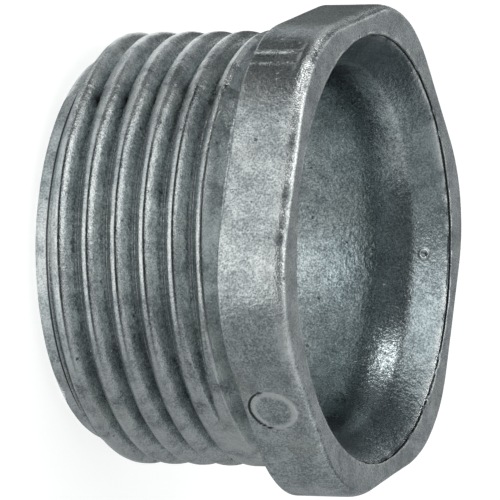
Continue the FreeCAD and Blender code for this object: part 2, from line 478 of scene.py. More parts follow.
class Field:
    """A value that changes over the surface. Arithmetic on it adds nodes to its tree."""

    def __init__(self, tree, socket):
        self.tree = tree
        self.socket = socket

    def math(self, operation, *others):
        node = self.tree.nodes.new("ShaderNodeMath")
        node.operation = operation
        for socket, value in zip(node.inputs, (self, *others)):
            feed(value, socket)
        return Field(self.tree, node.outputs[0])

    def __add__(self, other):
        return self.math("ADD", other)

    def __sub__(self, other):
        return self.math("SUBTRACT", other)

    def __mul__(self, other):
        return self.math("MULTIPLY", other)

    def __truediv__(self, other):
        return self.math("DIVIDE", other)

    def __rsub__(self, other):
        return self * -1 + other

    __radd__ = __add__
    __rmul__ = __mul__

    def at_most(self, other):
        return self.math("MINIMUM", other)

    def at_least(self, other):
        return self.math("MAXIMUM", other)

    def ramp(self, start, end):
        """0 up to start, 1 from end on, and a smooth rise between."""
        node = self.tree.nodes.new("ShaderNodeMapRange")
        node.interpolation_type = "SMOOTHSTEP"
        for name, value in (("Value", self), ("From Min", start), ("From Max", end)):
            feed(value, node.inputs[name])
        return Field(self.tree, node.outputs["Result"])

    def hump(self, width):
        """1 where the field is 0, falling to nothing a few widths away."""
        share = self / width
        return (share * share * -1).math("EXPONENT")


def feed(value, socket):
    """Links a field to a socket, or sets a plain value on it."""
    if isinstance(value, Field):
        value.tree.links.new(value.socket, socket)
    else:
        socket.default_value = value


def blend(share, first, second):
    """first where share is 0, second where it is 1."""
    return first + (second - first) * share


print("fields can be added, multiplied, ramped and blended")

# %% [markdown]
# Three more helpers take a place apart, put one together, and ask for noise there. Noise is a fixed
# pattern in space, so every run gives the same casting.

# %% Fields: places and noise
NOISE_DETAIL = 2.0
MIDDLE = 0.5


def parts_of(tree, vector_socket):
    node = tree.nodes.new("ShaderNodeSeparateXYZ")
    tree.links.new(vector_socket, node.inputs[0])
    return [Field(tree, socket) for socket in node.outputs]


def joined(tree, fields):
    node = tree.nodes.new("ShaderNodeCombineXYZ")
    for field, socket in zip(fields, node.inputs):
        feed(field, socket)
    return Field(tree, node.outputs[0])


def noise(tree, place_socket, grain_size, detail=NOISE_DETAIL, roughness=0.5, output="Fac"):
    """Blender's noise with grains of about this size, in metres. It varies about a middle of 0.5."""
    node = tree.nodes.new("ShaderNodeTexNoise")
    tree.links.new(place_socket, node.inputs["Vector"])
    node.inputs["Scale"].default_value = 1 / grain_size
    node.inputs["Detail"].default_value = detail
    node.inputs["Roughness"].default_value = roughness
    return Field(tree, node.outputs[output])


print("noise varies about:", MIDDLE)

# %% [markdown]
# The head's outline is a rule too. A hexagon could be drawn as a curve and filleted, but the rows need a
# radius for every angle. In polar form, a hexagon with round corners is an arc about a corner centre near
# each corner and a straight line between, so its radius can be written for any angle and any inset.

# %% Rule of the head: a hexagon with round corners


def head_radius(angle, inset, given):
    from_corner = (angle + HALF_SIXTH).math("FLOORED_MODULO", SIXTH_TURN) - HALF_SIXTH
    corner_centre = (given["Apothem"] - given["Corner Radius"]) * SECANT
    arc_radius = given["Corner Radius"] - inset
    aside = corner_centre * from_corner.math("SINE")
    reach = (arc_radius * arc_radius - aside * aside).math("SQRT")
    on_corner = corner_centre * from_corner.math("COSINE") + reach
    from_flat = HALF_SIXTH - from_corner.math("ABSOLUTE")
    on_flat = (given["Apothem"] - inset) / from_flat.math("COSINE")
    along_flat = on_flat * from_flat.math("SINE")
    is_flat = along_flat.math("LESS_THAN", corner_centre * math.sin(HALF_SIXTH))
    return blend(is_flat, on_corner, on_flat)


print("the head needs only the apothem, the corner radius and an inset")

# %% [markdown]
# The thread's rule lifts each row by one pitch per turn. At the lower end the ridge starts out of a cone.
# At the upper end the last groove climbs out of the metal over a short runout, and one more, shallow
# groove forms the neck below the head. That groove gets less painted shade than the others, and a painted
# highlight.
#
# The two halves of the die did not meet perfectly. The rear half's thread sits a trifle lower and its
# ridges are rounder, so the flat crests wane towards it. A fine crack crosses each ridge where the halves
# met, and small shrinkage pits lie in the grooves beside that seam. These faults fade out at the ends of
# the thread, where the rows come together and have to close. Hand modelling could place them as well, but
# a rule puts them on every ridge at once.

# %% Rule of the thread: sizes
DEGREES_PER_TURN = 360.0
RUNOUT_END = 2085.0 / DEGREES_PER_TURN
RUNOUT_TURNS = 50.0 / DEGREES_PER_TURN
NECK_GROOVE_START = 5.95
NECK_GROOVE_FULL = 6.3
NECK_SLOPE = 0.75
# The neck groove gets less painted shade and a painted highlight.
NECK_LESS_SHADE = 0.8
NECK_SHEEN = 0.6
CREST_FADE = 6.0 * MM
CREST_ALWAYS = 4.6
CREST_ALWAYS_FULL = 5.0
CREST_WANE_START = 0.66
CREST_WANE_END = 0.82
HALF_SHIFT = 0.05 * MM
# The rounder rear ridges are painted lighter towards their tops, as a painted highlight.
REAR_SHEEN = 1.0
REAR_SHEEN_FALL = 2
SEAM_BLEND = 0.07 * MM
SEAM_SHIFT = 0.25 * MM
SEAM_CRACK = 0.05 * MM
SEAM_CRACK_WIDTH = 0.1 * MM
SEAM_PIT = 0.25 * MM
SEAM_PIT_OFFSET = 0.3 * MM
SEAM_PIT_WIDTH = 0.28 * MM
SEAM_FAULT_CHANGE = 1.1
SEAM_FAULT_START = -0.3
SEAM_ROOM = 0.3 * MM
print("runout ends after turns:", round(RUNOUT_END, 3))

# %% Rule of the thread


def within_ends(radius, height, given):
    """The radius, held below the cone of the lead-in and the cone under the neck."""
    cone_rise = (given["Crest"] - given["Lead In"]) / given["Lead In Cone"]
    cone = given["Lead In"] + (height - given["Lead In Top"]) * cone_rise
    neck_cone = given["Neck"] + given["Thread Top"] - height
    return radius.at_most(cone).at_most(neck_cone)


def seam_faults(recess, height, helix_turn, from_seam, given):
    """The crack across the ridges and the pits in the grooves, from 0 to 1."""
    fault = (helix_turn * SEAM_FAULT_CHANGE + SEAM_FAULT_START).math("SINE") * MIDDLE + MIDDLE
    from_ends = (height - given["Lead In Top"]).at_most(given["Thread Top"] - height)
    fault = fault * from_ends.ramp(0.0, SEAM_ROOM)
    crack = from_seam.hump(SEAM_CRACK_WIDTH) * (1 - recess).at_least(0) * fault
    pit = (from_seam + SEAM_PIT_OFFSET).hump(SEAM_PIT_WIDTH) * recess * recess * fault
    return crack, pit


def thread_shape(radius, height, groove, rear_radius, line, worn, turn, from_seam, given):
    """Radius and height of a point of the thread, its dirt and painted shade, and its wear and painted
    highlight.
    """
    from_seam = from_seam + SEAM_SHIFT
    rear_half = from_seam.ramp(-SEAM_BLEND, SEAM_BLEND)
    helix_turn = groove + turn
    always_crested = helix_turn.ramp(CREST_ALWAYS, CREST_ALWAYS_FULL)
    crested = (0 - from_seam).ramp(0.0, CREST_FADE).at_least(always_crested)
    crested = crested * (1 - rear_half) * (1 - turn.ramp(CREST_WANE_START, CREST_WANE_END))
    from_groove = height - groove * given["Pitch"] - GROOVE_START
    height = height + turn * given["Pitch"] - rear_half * HALF_SHIFT
    height = height.at_least(given["Lead In Top"]).at_most(given["Thread Top"])

    runout = ((helix_turn - (RUNOUT_END - RUNOUT_TURNS)) / RUNOUT_TURNS).at_least(0).at_most(1)
    neck_groove = helix_turn.ramp(NECK_GROOVE_START, NECK_GROOVE_FULL)
    filled = runout * runout * (1 - neck_groove)
    radius = blend(crested, rear_radius, radius) + filled * given["Groove Depth"]
    neck_flank = given["Crest"] - (from_groove + (PITCH / 2 - CREST_HALF)) * NECK_SLOPE
    radius = radius.at_most(given["Crest"]).at_least(neck_groove * neck_flank.at_least(given["Neck"]))
    radius = within_ends(radius, height, given)

    # Deeper in a groove the colour is darker: painted shade with some dirt; the crack and the pits get
    # painted shade too.
    recess = (given["Crest"] - radius) / given["Groove Depth"]
    crack, pit = seam_faults(recess, height, helix_turn, from_seam, given)
    shade = recess * (1 - neck_groove * NECK_LESS_SHADE) + crack + pit + line * crested
    # Painted highlight on the rear ridges and on the neck groove.
    rear_sheen = (1 - recess * REAR_SHEEN_FALL).at_least(0) * REAR_SHEEN
    wear_and_sheen = blend(crested, rear_sheen, worn) + neck_groove * NECK_SHEEN
    return radius - crack * SEAM_CRACK - pit * SEAM_PIT, height, shade, wear_and_sheen


print("offset between the halves in mm:", round(HALF_SHIFT / MM, 3))

# %% [markdown]
# The die left two marks on the head. On the corners where its halves met, the flash was trimmed off, and
# what is left is a rough strip between two fine raised lines; the strip and its lines get a painted
# highlight.
# Noise tears it, and it ends before the front edge. On the flat that faces -Y, an ejector pin pushed the
# casting out and left a shallow round print with a fine groove around it. The groove gets painted shade,
# darkest on the side of the thread, and the rim inside it gets a painted highlight. Booleans with small
# cylinders would make both, but as a depth below the surface they blend into the cast skin. Both are cut
# inwards only, so the head keeps its true size.

# %% Rule of the die marks
STRIP_HALF = 0.5 * MM
STRIP_DIP = 0.15 * MM
STRIP_REACH = 1.3 * MM
STRIP_END = 0.5 * MM
STRIP_TEAR = 0.35 * MM
STRIP_TORN = (0.35, 0.6)
STRIP_DIRT = 1.3
# Painted highlight on the strip and on its two raised lines.
STRIP_SHINE = 0.5
LINE_WIDTH = 0.12 * MM
LINE_LEAST = 0.4
LINE_SHINE = 0.9
PRINT_RADIUS = 1.5 * MM
PRINT_HEIGHT = 14.85 * MM
PRINT_DEPTH = 0.03 * MM
PRINT_EDGE = 0.1 * MM
PRINT_GROOVE = 0.09 * MM
# Painted shade in the groove around the print, darkest on the side of the thread, and a painted highlight
# on the rim inside.
PRINT_SHADE = 1.9
PRINT_SHADE_LEAST = 0.9
PRINT_RIM = 1.28 * MM
PRINT_RIM_WIDTH = 0.17 * MM
PRINT_SHINE = 3.0


def trimmed_strip(x, y, height):
    """Depth, dirt and painted highlight of the strip that trimming left on the corners of the parting
    plane.
    """
    place = joined(x.tree, (x, y, height))
    torn = noise(x.tree, place.socket, STRIP_TEAR).ramp(*STRIP_TORN)
    trimmed = (FRONT - FRONT_EDGE_LENGTH - height).ramp(0.0, STRIP_END)
    line = (y.math("ABSOLUTE") - STRIP_HALF).hump(LINE_WIDTH) * blend(torn, LINE_LEAST, FULL) * trimmed
    depth = y.hump(STRIP_REACH) * (1 - line) * trimmed * STRIP_DIP
    dirt = y.hump(STRIP_HALF) * (1 - torn) * trimmed * STRIP_DIRT
    # Painted highlight on the raised lines and on the strip.
    shine = line * LINE_SHINE + y.hump(STRIP_HALF) * trimmed * STRIP_SHINE
    return depth, dirt, shine


def ejector_print(x, y, height):
    """Depth, painted shade and painted highlight of the round print on the flat that faces -Y."""
    aside = height - PRINT_HEIGHT
    from_print = (x * x + aside * aside).math("SQRT")
    inside = 1 - from_print.ramp(PRINT_RADIUS - PRINT_EDGE, PRINT_RADIUS + PRINT_EDGE)
    around = (from_print - PRINT_RADIUS).hump(PRINT_EDGE)
    print_side = y.math("LESS_THAN", 0.0)
    # The side of the print that gets the most painted shade.
    shaded_side = (0 - aside).ramp(-PRINT_RADIUS, PRINT_RADIUS / 2)
    depth = (inside * PRINT_DEPTH + around * PRINT_GROOVE) * print_side
    dirt = around * print_side * blend(shaded_side, PRINT_SHADE_LEAST, PRINT_SHADE)
    shine = (from_print - PRINT_RIM).hump(PRINT_RIM_WIDTH) * print_side * PRINT_SHINE
    return depth, dirt, shine


def die_marks(x, y, height):
    """How far the marks of the die lie below the sides of the head, their dirt and painted shade, and
    their painted highlight.
    """
    strip = trimmed_strip(x, y, height)
    pressed = ejector_print(x, y, height)
    return [on_strip + on_print for on_strip, on_print in zip(strip, pressed)]


print("print radius and depth in mm:", in_mm((PRINT_RADIUS, PRINT_DEPTH)))

# %% [markdown]
# Now the tree itself. It lays out a grid with one column for each step around the axis and one row for
# each point of the section, and moves every point to its place. The sizes are named inputs of the tree,
# and a row finds its point of the section by its number.

# %% Geometry Nodes: inputs of the casting
COLUMNS = 320
SKIN_HEIGHT = 0.05 * MM
CASTING_SIZES = {
    "Pitch": PITCH,
    "Crest": CREST,
    "Apothem": APOTHEM,
    "Corner Radius": CORNER_RADIUS,
    "Lead In": LEAD_IN,
    "Lead In Top": LEAD_IN_TOP,
    "Lead In Cone": LEAD_IN_CONE,
    "Neck": NECK,
    "Thread Top": THREAD_TOP,
    "Groove Depth": GROOVE_DEPTH,
    "Skin Height": SKIN_HEIGHT,
}
CASTING_COUNTS = {"Columns": COLUMNS, "Rows": len(section_mesh.vertices)}


def new_tree(name):
    tree = bpy.data.node_groups.new(name, "GeometryNodeTree")
    tree.interface.new_socket("Geometry", in_out="INPUT", socket_type="NodeSocketGeometry")
    tree.interface.new_socket("Geometry", in_out="OUTPUT", socket_type="NodeSocketGeometry")
    for label in CASTING_COUNTS:
        tree.interface.new_socket(label, in_out="INPUT", socket_type="NodeSocketInt")
    for label in CASTING_SIZES:
        tree.interface.new_socket(label, in_out="INPUT", socket_type="NodeSocketFloat")
    return tree


def section_values(tree, source, row):
    """What the section's point of this row carries: radius, height and the named values."""
    place = tree.nodes.new("GeometryNodeInputPosition")
    values = []
    for name in (None, *WallSection.CARRIED):
        node = tree.nodes.new("GeometryNodeSampleIndex")
        tree.links.new(source, node.inputs["Geometry"])
        feed(row, node.inputs["Index"])
        if name is None:
            node.data_type = "FLOAT_VECTOR"
            tree.links.new(place.outputs["Position"], node.inputs["Value"])
            radius, _, height = parts_of(tree, node.outputs["Value"])
            values += [radius, height]
        else:
            named = tree.nodes.new("GeometryNodeInputNamedAttribute")
            named.inputs["Name"].default_value = name
            tree.links.new(named.outputs["Attribute"], node.inputs["Value"])
            values.append(Field(tree, node.outputs["Value"]))
    return values


print("columns around the axis:", COLUMNS, "rows:", CASTING_COUNTS["Rows"])

# %% [markdown]
# Each point of the grid now gets its place. Columns are bunched at the quarter turns, where the seams and
# the print need fine steps. The step at the mouth is torn here by noise, with its painted shade and its
# lighter rim, and the painted highlight on the head's edge is kept to one side of the head, where the
# light falls. Then the rules of the head, the marks and the thread are mixed by what the row carries. What
# the material has to know later is kept as three named attributes.

# %% Geometry Nodes: place every point
TAU = 2 * math.pi
QUARTERS = 4
BUNCHING = 0.8
MOUTH_TEAR = 0.8 * MM
MOUTH_RAGGED = 0.16 * MM
MOUTH_SHADE_TORN = (0.25, 0.45)
MOUTH_HIGHLIGHT_TORN = (0.45, 0.55)
# The side of the head where the front edge keeps its painted highlight.
HIGHLIGHT_SIDE = math.radians(200)
HIGHLIGHT_SPREAD = (0.35, 0.75)


def bunched_turn(index, given):
    """The share of a turn at which a point's column stands."""
    turn = (index / given["Rows"]).math("FLOOR") / given["Columns"]
    return turn - (turn * (TAU * QUARTERS)).math("SINE") * (BUNCHING / (TAU * QUARTERS))


def point_places(tree, source, given):
    """Where each point of the grid goes, and what the material needs to know about it."""
    index = Field(tree, tree.nodes.new("GeometryNodeInputIndex").outputs["Index"])
    row = index.math("MODULO", given["Rows"])
    turn = bunched_turn(index, given)
    angle = turn * TAU
    cosine, sine = angle.math("COSINE"), angle.math("SINE")
    radius, height, hexagon, inset, climb, groove, rear_radius, *finish = section_values(tree, source, row)
    bore, dirt, worn, ragged = finish
    smooth_place = joined(tree, (radius * cosine, radius * sine, height))
    torn = noise(tree, smooth_place.socket, MOUTH_TEAR)
    radius = radius + (torn - MIDDLE) * ragged * MOUTH_RAGGED
    # Noise breaks up the painted shade of the step and the lighter rim.
    dirt = dirt * blend(ragged, FULL, torn.ramp(*MOUTH_SHADE_TORN))
    worn = worn * blend(ragged, FULL, torn.ramp(*MOUTH_HIGHLIGHT_TORN))
    # Painted highlight on the front edge, kept to one side of the head by angle.
    lit_side = (angle - HIGHLIGHT_SIDE).math("COSINE").ramp(*HIGHLIGHT_SPREAD)
    worn = worn * blend(hexagon, FULL, lit_side)

    on_head = head_radius(angle, inset, given)
    mark_depth, mark_dirt_and_shade, mark_shine = die_marks(on_head * cosine, on_head * sine, height)
    from_seam = given["Crest"] * sine
    threaded, climbed, shade, thread_wear_and_sheen = thread_shape(
        radius, height, groove, rear_radius, dirt, worn, turn, from_seam, given)
    radius = blend(climb, blend(hexagon, radius, on_head - mark_depth), threaded)
    height = blend(climb, height, climbed)
    # The first kept value holds dirt and painted shade, the second wear and painted highlights.
    kept = {
        "recess": blend(climb, dirt + mark_dirt_and_shade * hexagon, shade),
        "worn": blend(climb, worn + mark_shine * hexagon, thread_wear_and_sheen),
        "bore": bore,
    }
    return (radius * cosine, radius * sine, height), kept


print("turns at which the columns are bunched:", [quarter / QUARTERS for quarter in range(QUARTERS)])

# %% [markdown]
# Last in the tree comes the gentle unevenness of cast metal. A Displace modifier could add it, but here
# it is one more noise before the points are set. Thread rows that would climb past the ends of the thread
# have fallen together there, and merging by distance closes them, and both seams of the sheet.

# %% Geometry Nodes: the whole tree
SKIN_GRAIN = 2.6 * MM
MERGE_DISTANCE = 0.001 * MM


def uneven(tree, places, given):
    """The same places, moved a little by noise, but never below the floor."""
    drift = noise(tree, joined(tree, places).socket, SKIN_GRAIN, output="Color")
    moved = []
    for place, push in zip(places, parts_of(tree, drift.socket)):
        moved.append(place + (push - MIDDLE) * given["Skin Height"])
    return moved[0], moved[1], moved[2].at_least(0.0)


def chain(tree, socket, kind, **values):
    """Adds a node that the geometry passes through, and gives back its geometry output."""
    node = tree.nodes.new(kind)
    tree.links.new(socket, node.inputs[0])
    for name, value in values.items():
        feed(value, node.inputs[name])
    return node.outputs[0]


def casting_tree(material):
    tree = new_tree("turn_casting")
    entry = tree.nodes.new("NodeGroupInput")
    leave = tree.nodes.new("NodeGroupOutput")
    given = {label: Field(tree, entry.outputs[label]) for label in (*CASTING_COUNTS, *CASTING_SIZES)}
    places, kept = point_places(tree, entry.outputs["Geometry"], given)
    grid = tree.nodes.new("GeometryNodeMeshGrid")
    feed(given["Columns"] + 1, grid.inputs["Vertices X"])
    feed(given["Rows"], grid.inputs["Vertices Y"])
    moved = joined(tree, uneven(tree, places, given))
    shape = grid.outputs["Mesh"]
    for name, field in kept.items():
        shape = chain(tree, shape, "GeometryNodeStoreNamedAttribute", Name=name, Value=field)
    shape = chain(tree, shape, "GeometryNodeSetPosition", Position=moved)
    shape = chain(tree, shape, "GeometryNodeMergeByDistance", Distance=MERGE_DISTANCE)
    shape = chain(tree, shape, "GeometryNodeFlipFaces")
    shape = chain(tree, shape, "GeometryNodeSetShadeSmooth")
    shape = chain(tree, shape, "GeometryNodeRealizeInstances")
    shape = chain(tree, shape, "GeometryNodeSetMaterial", Material=material)
    tree.links.new(shape, leave.inputs["Geometry"])
    return tree


print("points closer than this are merged, in mm:", round(MERGE_DISTANCE / MM, 4))

# %% [markdown]
# Bare die-cast zinc is a dull, slightly cold grey. Where the metal chilled against the die it is smoother
# and lighter, and patches in between are darker, with a fine grain, pinholes darkened with painted shade,
# and bright specks that are painted glints. A photo of zinc could be wrapped around the part, but it would
# stretch on the thread. So the finish comes from noise at several sizes, read from Object coordinates.
#
# A few marks of this one casting are placed one by one: two scratches by a corner of the head, and a
# blister in the bell, which is a very short scratch inside a ring with a painted highlight. Grooves get
# dirt and painted shade, and edges are painted lighter with wear and painted highlights, so the material
# also reads the attributes that the nodes kept.

# %% Material: helpers
MIX_COLOUR_A = 6
MIX_COLOUR_B = 7
MIX_COLOUR_RESULT = 2
HOLE_LEAST = 0.06
HOLE_SPREAD = 0.16
HOLE_CORE = 0.4
HOLE_CHANCE = (0.82, 0.86)


def new_material(name):
    material = bpy.data.materials.new(name)
    material.use_nodes = True
    tree = material.node_tree
    return material, tree, tree.nodes["Principled BSDF"]


def mix_colour(tree, share, first, second, blend_type="MIX"):
    """A Mix node for colours. Its sockets share their names with other types, so they are counted."""
    node = tree.nodes.new("ShaderNodeMix")
    node.data_type = "RGBA"
    node.blend_type = blend_type
    feed(share, node.inputs["Factor"])
    feed(first, node.inputs[MIX_COLOUR_A])
    feed(second, node.inputs[MIX_COLOUR_B])
    return Field(tree, node.outputs[MIX_COLOUR_RESULT])


def kept_value(tree, name):
    node = tree.nodes.new("ShaderNodeAttribute")
    node.attribute_name = name
    return Field(tree, node.outputs["Fac"])


def pinholes(tree, place, cell_size):
    """1 in the middle of a few scattered cells, 0 elsewhere."""
    node = tree.nodes.new("ShaderNodeTexVoronoi")
    tree.links.new(place, node.inputs["Vector"])
    node.inputs["Scale"].default_value = 1 / cell_size
    chance, size, _ = parts_of(tree, node.outputs["Color"])
    edge = size * HOLE_SPREAD + HOLE_LEAST
    from_middle = Field(tree, node.outputs["Distance"])
    return (1 - from_middle.ramp(edge * HOLE_CORE, edge)) * chance.ramp(*HOLE_CHANCE)


def from_scratch(tree, place, start, end):
    """Distance of a point from a straight scratch between two places in mm."""
    along = Vector(end) - Vector(start)
    offsets = [part - first * MM for part, first in zip(parts_of(tree, place), start)]
    share = sum(offset * (step / along.length_squared / MM) for offset, step in zip(offsets, along))
    share = share.at_least(0).at_most(1)
    gaps = [offset - share * (step * MM) for offset, step in zip(offsets, along)]
    return sum(gap * gap for gap in gaps).math("SQRT")


print("share of cells with a pinhole, about:", round(1 - sum(HOLE_CHANCE) / 2, 2))

# %% Material: the patterns of the skin
SKIN_NOISES = {
    "patch": {"grain_size": 3.5 * MM},
    "cloud": {"grain_size": 1.6 * MM, "detail": 3.0, "roughness": 0.6},
    "mottle": {"grain_size": 0.28 * MM, "roughness": 0.6},
    "grain": {"grain_size": 0.11 * MM, "roughness": 0.7},
}
HOLE_CELL = 0.6 * MM
# The bright specks are painted glints.
SPECK_CELL = 0.45 * MM
# Noise breaks up the wear and the painted highlights.
WEAR_AND_HIGHLIGHT_CLOUDS = (0.3, 0.6)
SCRATCHES = (
    ((-14.87, -1.14, 16.84), (-14.53, -2.63, 16.84)),
    ((-14.04, 0.07, 17.15), (-12.95, 0.06, 17.15)),
)
SCRATCH_WIDTH = 0.07 * MM
BLISTER_START = (7.9, 8.44, 15.79)
BLISTER_END = (7.92, 8.46, 15.79)
# The blister's bright ring is a painted highlight, and its pit gets painted shade.
BLISTER_PIT = 0.13 * MM
BLISTER_RIM = 0.26 * MM
BLISTER_RIM_WIDTH = 0.09 * MM


def zinc_skin(tree):
    """The named fields from which the finish is mixed."""
    place = tree.nodes.new("ShaderNodeTexCoord").outputs["Object"]
    skin = {name: kept_value(tree, name) for name in ("recess", "bore", "worn")}
    for name, kind in SKIN_NOISES.items():
        skin[name] = noise(tree, place, **kind)
    from_blister = from_scratch(tree, place, BLISTER_START, BLISTER_END)
    skin["holes"] = pinholes(tree, place, HOLE_CELL).at_least(from_blister.hump(BLISTER_PIT))
    skin["specks"] = pinholes(tree, place, SPECK_CELL)
    skin["worn"] = skin["worn"] * skin["cloud"].ramp(*WEAR_AND_HIGHLIGHT_CLOUDS)
    skin["scratched"] = sum(from_scratch(tree, place, *ends).hump(SCRATCH_WIDTH) for ends in SCRATCHES)
    skin["blister"] = (from_blister - BLISTER_RIM).hump(BLISTER_RIM_WIDTH)
    skin["worn_grain"] = skin["worn"] * skin["grain"]
    skin["bore_mottle"] = skin["bore"] * skin["mottle"]
    return skin


print("noises of the skin:", list(SKIN_NOISES), "scratches:", len(SCRATCHES))

# %% [markdown]
# The colour is mixed in layers: light and dark metal first, a few warmer patches, the colder tint of the
# bore with its painted shade, lighter metal where it is worn or scratched together with painted highlights
# and glints, and dirt with painted shade on top of all. That darkening comes in two steps, a lighter and a
# darker one, and noise makes its edges uneven.

# %% Material: colour
ZINC_DARK = (0.23, 0.26, 0.27, 1)
ZINC_LIGHT = (0.72, 0.765, 0.76, 1)
ZINC_WARM = (0.46, 0.465, 0.43, 1)
ZINC_WORN_AND_HIGHLIGHT = (0.82, 0.85, 0.84, 1)
ZINC_SOOT_AND_SHADE = (0.04, 0.045, 0.05, 1)
BORE_TINT_AND_SHADE = (0.48, 0.55, 0.58, 1)
SHADE_SHARES = {"cloud": 0.28, "mottle": 0.17, "grain": 0.55}
SHADE_RANGE = (0.37, 0.63)
PATCH_RANGE = (0.50, 0.75)
PATCH_SHARE = 0.25
BORE_SHARE = 0.5
# Lighter metal: wear and scratches, together with painted highlights on edges and crests, painted glints
# and the blister's painted highlight.
BRIGHT_SHARES = {"worn": 0.6, "specks": 0.8, "scratched": 1.0, "blister": 0.6}
DIRT_AND_SHADE_UNEVEN = 0.5
DUST_AND_SHADE_RANGE = (0.75, 1.1)
DUST_AND_SHADE_SHARE = 0.4
SOOT_AND_SHADE_RANGE = (1.0, 1.4)
SOOT_AND_SHADE_SHARE = 0.55
# Pinholes are darkened with painted shade.
HOLE_SHADE = 0.6


def mixed(skin, shares):
    """The sum of the named fields, each by its share."""
    return sum(skin[name] * share for name, share in shares.items())


def zinc_colour(tree, skin):
    colour = mix_colour(tree, mixed(skin, SHADE_SHARES).ramp(*SHADE_RANGE), ZINC_DARK, ZINC_LIGHT)
    colour = mix_colour(tree, skin["patch"].ramp(*PATCH_RANGE) * PATCH_SHARE, colour, ZINC_WARM)
    # Colder tint of the bore, with a darker tone that is painted shade inside the hollow.
    colour = mix_colour(tree, skin["bore"] * BORE_SHARE, colour, BORE_TINT_AND_SHADE, "MULTIPLY")
    # Wear, scratches, painted highlights and painted glints lighten the metal.
    colour = mix_colour(tree, mixed(skin, BRIGHT_SHARES), colour, ZINC_WORN_AND_HIGHLIGHT)
    # Dirt and painted shade in grooves, on the step, along edges and in pinholes, in two steps.
    recess = skin["recess"] + (skin["cloud"] - MIDDLE) * DIRT_AND_SHADE_UNEVEN
    dirt = recess.ramp(*DUST_AND_SHADE_RANGE) * DUST_AND_SHADE_SHARE + recess.ramp(*SOOT_AND_SHADE_RANGE) * SOOT_AND_SHADE_SHARE
    dirt = dirt + skin["holes"] * HOLE_SHADE
    return mix_colour(tree, dirt.at_most(1), colour, ZINC_SOOT_AND_SHADE)


print("zinc goes from", ZINC_DARK[:3], "to", ZINC_LIGHT[:3])

# %% [markdown]
# The same patterns make the skin rough and bumpy. Bump is enough for detail finer than the mesh. The bore
# was formed by a smooth core, and worn metal is polished, so both are a little less rough. The fine grain
# stands out more where the metal is worn, so that an edge sparkles.

# %% Material: roughness, bump and the finished zinc
MEAN_ROUGH = 0.37
ROUGH_SHARES = {"cloud": -0.15, "mottle": -0.15, "grain": 0.1, "bore": -0.04, "worn": -0.04}
BUMP_DISTANCE = 0.02 * MM
BUMP_SHARES = {"grain": 0.8, "worn_grain": 0.8, "mottle": 1.2, "bore_mottle": 0.3, "cloud": 2.5}
MARK_BUMP_SHARES = {"specks": 2.0, "scratched": 1.5, "blister": 3.0, "holes": -2.5}


def cast_zinc():
    material, tree, shader = new_material("cast_zinc")
    skin = zinc_skin(tree)
    feed(zinc_colour(tree, skin), shader.inputs["Base Color"])
    feed(mixed(skin, ROUGH_SHARES) + MEAN_ROUGH, shader.inputs["Roughness"])
    shader.inputs["Metallic"].default_value = 1.0
    bump = tree.nodes.new("ShaderNodeBump")
    bump.inputs["Strength"].default_value = 1.0
    bump.inputs["Distance"].default_value = BUMP_DISTANCE
    feed(mixed(skin, BUMP_SHARES) + mixed(skin, MARK_BUMP_SHARES), bump.inputs["Height"])
    tree.links.new(bump.outputs["Normal"], shader.inputs["Normal"])
    return material


zinc = cast_zinc()
print("nodes in the zinc:", len(zinc.node_tree.nodes))

# %% [markdown]
# The modifier's inputs are set by the identifiers of their sockets before the object is evaluated for the
# first time. The result is copied into a plain mesh, so no modifier is left on the piece that rides in
# the frame. The count of open edges shows that the skin is closed.

# %% Make the casting


def turned_casting():
    tree = casting_tree(zinc)
    carrier = linked("section_carrier", section_mesh)
    modifier = carrier.modifiers.new("turn_casting", "NODES")
    modifier.node_group = tree
    values = {**CASTING_COUNTS, **CASTING_SIZES}
    for item in tree.interface.items_tree:
        if item.in_out == "INPUT" and item.name in values:
            modifier[item.identifier] = values[item.name]
    bpy.context.view_layer.update()
    evaluated = carrier.evaluated_get(bpy.context.evaluated_depsgraph_get())
    mesh = bpy.data.meshes.new_from_object(evaluated)
    mesh.name = "nipple_casting"
    bpy.data.objects.remove(carrier)
    return linked("nipple_casting", mesh)


def describe(piece):
    shape = bmesh.new()
    shape.from_mesh(piece.data)
    open_edges = sum(1 for edge in shape.edges if len(edge.link_faces) != 2)
    triangles = sum(len(face.verts) - 2 for face in shape.faces)
    volume = round(shape.calc_volume(signed=True) / MM ** 3, 1)
    shape.free()
    print(piece.name, "triangles:", triangles, "open edges:", open_edges, "volume in mm3:", volume)


casting = turned_casting()
describe(casting)
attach(casting, "root")
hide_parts(NODE)

# %% [markdown]
# The stage is a plain pale floor. More light would make it white, but it would also bleach the metal. So
# part of its white is its own: the picture's ground stays pale where the part's shadow falls, and the
# metal mirrors the same white.

# %% Floor
FLOOR_SIZE = 2.0
FLOOR_GREY = (0.5, 0.5, 0.5, 1)
FLOOR_WHITE = 0.8


def pale_floor():
    mesh = bpy.data.meshes.new("floor")
    half = FLOOR_SIZE / 2
    corners = [(-half, -half, 0), (half, -half, 0), (half, half, 0), (-half, half, 0)]
    mesh.from_pydata(corners, [], [range(len(corners))])
    floor = linked("floor", mesh)
    material, tree, shader = new_material("pale_floor")
    shader.inputs["Base Color"].default_value = FLOOR_GREY
    shader.inputs["Roughness"].default_value = 1.0
    shader.inputs["Specular IOR Level"].default_value = 0.0
    shader.inputs["Emission Color"].default_value = (1, 1, 1, 1)
    rays = tree.nodes.new("ShaderNodeLightPath")
    seen = Field(tree, rays.outputs["Is Camera Ray"])
    for name in ("Is Glossy Ray", "Is Transmission Ray"):
        seen = seen.at_least(Field(tree, rays.outputs[name]))
    feed(seen * FLOOR_WHITE, shader.inputs["Emission Strength"])
    mesh.materials.append(material)
    floor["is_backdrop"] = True


pale_floor()
print("floor is", FLOOR_SIZE, "m wide")

